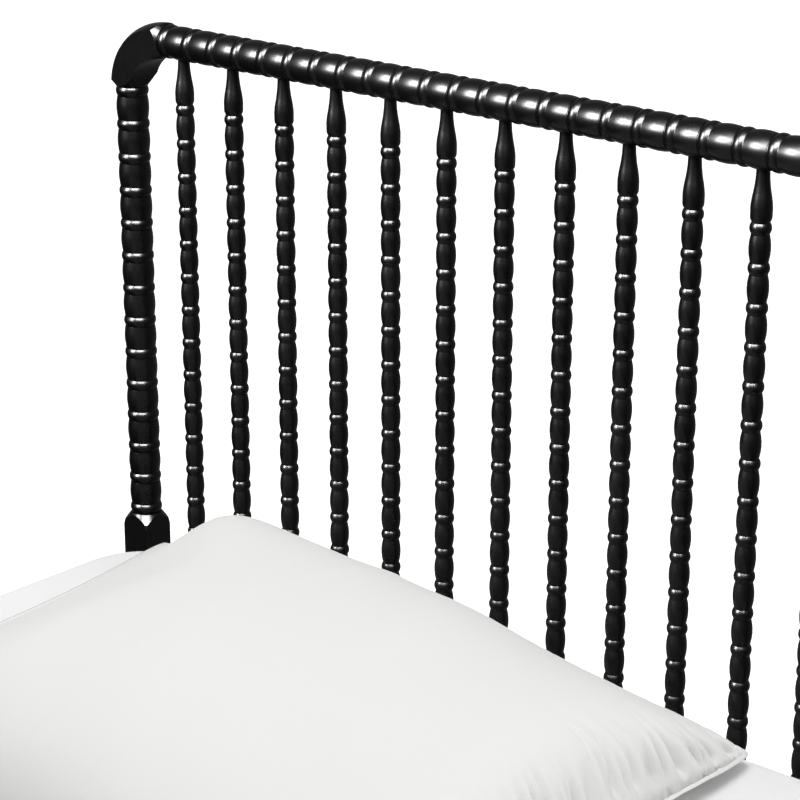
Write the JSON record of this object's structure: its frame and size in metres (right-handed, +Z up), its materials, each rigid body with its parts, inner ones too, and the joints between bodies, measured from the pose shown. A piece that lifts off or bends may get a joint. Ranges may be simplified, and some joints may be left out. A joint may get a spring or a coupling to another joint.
{
  "type": "spindle bed",
  "caption": "Twin bed with ring-turned posts and spindles, rounded corner elbows, side rails, slats, a mattress and a pillow.",
  "frame": {"origin": "floor level, under the middle of the bed", "axes": "+Z up; +Y from the footboard to the headboard; X across the bed"},
  "size_m": [1.0628, 2.0164, 1.1569],
  "materials": {
    "black_lacquer": "semi-gloss black lacquer",
    "slat_wood": "raw planed softwood",
    "dowel_wood": "raw beech",
    "bolt_steel": "black oxide",
    "screw_steel": "zinc plated",
    "glide_plastic": "matte nylon",
    "mattress_fabric": "smooth white cotton cover",
    "pillow_fabric": "white cotton pillowcase"
  },
  "bodies": {
    "frame": {"headboard_left_post": "black_lacquer", "headboard_left_elbow": "black_lacquer", "headboard_right_post": "black_lacquer", "headboard_right_elbow": "black_lacquer", "headboard_top_rail": "black_lacquer", "headboard_bottom_rail": "black_lacquer", "headboard_spindle_01": "black_lacquer", "headboard_spindle_02": "black_lacquer", "headboard_spindle_03": "black_lacquer", "headboard_spindle_04": "black_lacquer", "headboard_spindle_05": "black_lacquer", "headboard_spindle_06": "black_lacquer", "headboard_spindle_07": "black_lacquer", "headboard_spindle_08": "black_lacquer", "headboard_spindle_09": "black_lacquer", "headboard_spindle_10": "black_lacquer", "headboard_spindle_11": "black_lacquer", "headboard_spindle_12": "black_lacquer", "headboard_spindle_13": "black_lacquer", "footboard_left_post": "black_lacquer", "footboard_left_elbow": "black_lacquer", "footboard_right_post": "black_lacquer", "footboard_right_elbow": "black_lacquer", "footboard_top_rail": "black_lacquer", "footboard_bottom_rail": "black_lacquer", "footboard_spindle_01": "black_lacquer", "footboard_spindle_02": "black_lacquer", "footboard_spindle_03": "black_lacquer", "footboard_spindle_04": "black_lacquer", "footboard_spindle_05": "black_lacquer", "footboard_spindle_06": "black_lacquer", "footboard_spindle_07": "black_lacquer", "footboard_spindle_08": "black_lacquer", "footboard_spindle_09": "black_lacquer", "footboard_spindle_10": "black_lacquer", "footboard_spindle_11": "black_lacquer", "footboard_spindle_12": "black_lacquer", "footboard_spindle_13": "black_lacquer", "left_side_rail": "black_lacquer", "left_slat_cleat": "slat_wood", "right_side_rail": "black_lacquer", "right_slat_cleat": "slat_wood", "slat_01": "slat_wood", "slat_02": "slat_wood", "slat_03": "slat_wood", "slat_04": "slat_wood", "slat_05": "slat_wood", "slat_06": "slat_wood", "slat_07": "slat_wood", "slat_08": "slat_wood", "slat_09": "slat_wood", "slat_10": "slat_wood", "slat_11": "slat_wood", "bed_bolts": "bolt_steel", "barrel_nuts": "bolt_steel", "dowels": "dowel_wood", "wood_screws": "screw_steel", "foot_glides": "glide_plastic"},
    "mattress": {"mattress": "mattress_fabric"},
    "pillow": {"pillow": "pillow_fabric"}
  },
  "joints": [
    {"name": "mattress_lift", "type": "slide", "parent": "frame", "child": "mattress", "axis": [0, 0, 1], "range_m": [0, 0.8]},
    {"name": "pillow_lift", "type": "slide", "parent": "mattress", "child": "pillow", "axis": [0, 0, 1], "range_m": [0, 0.6]}
  ]
}
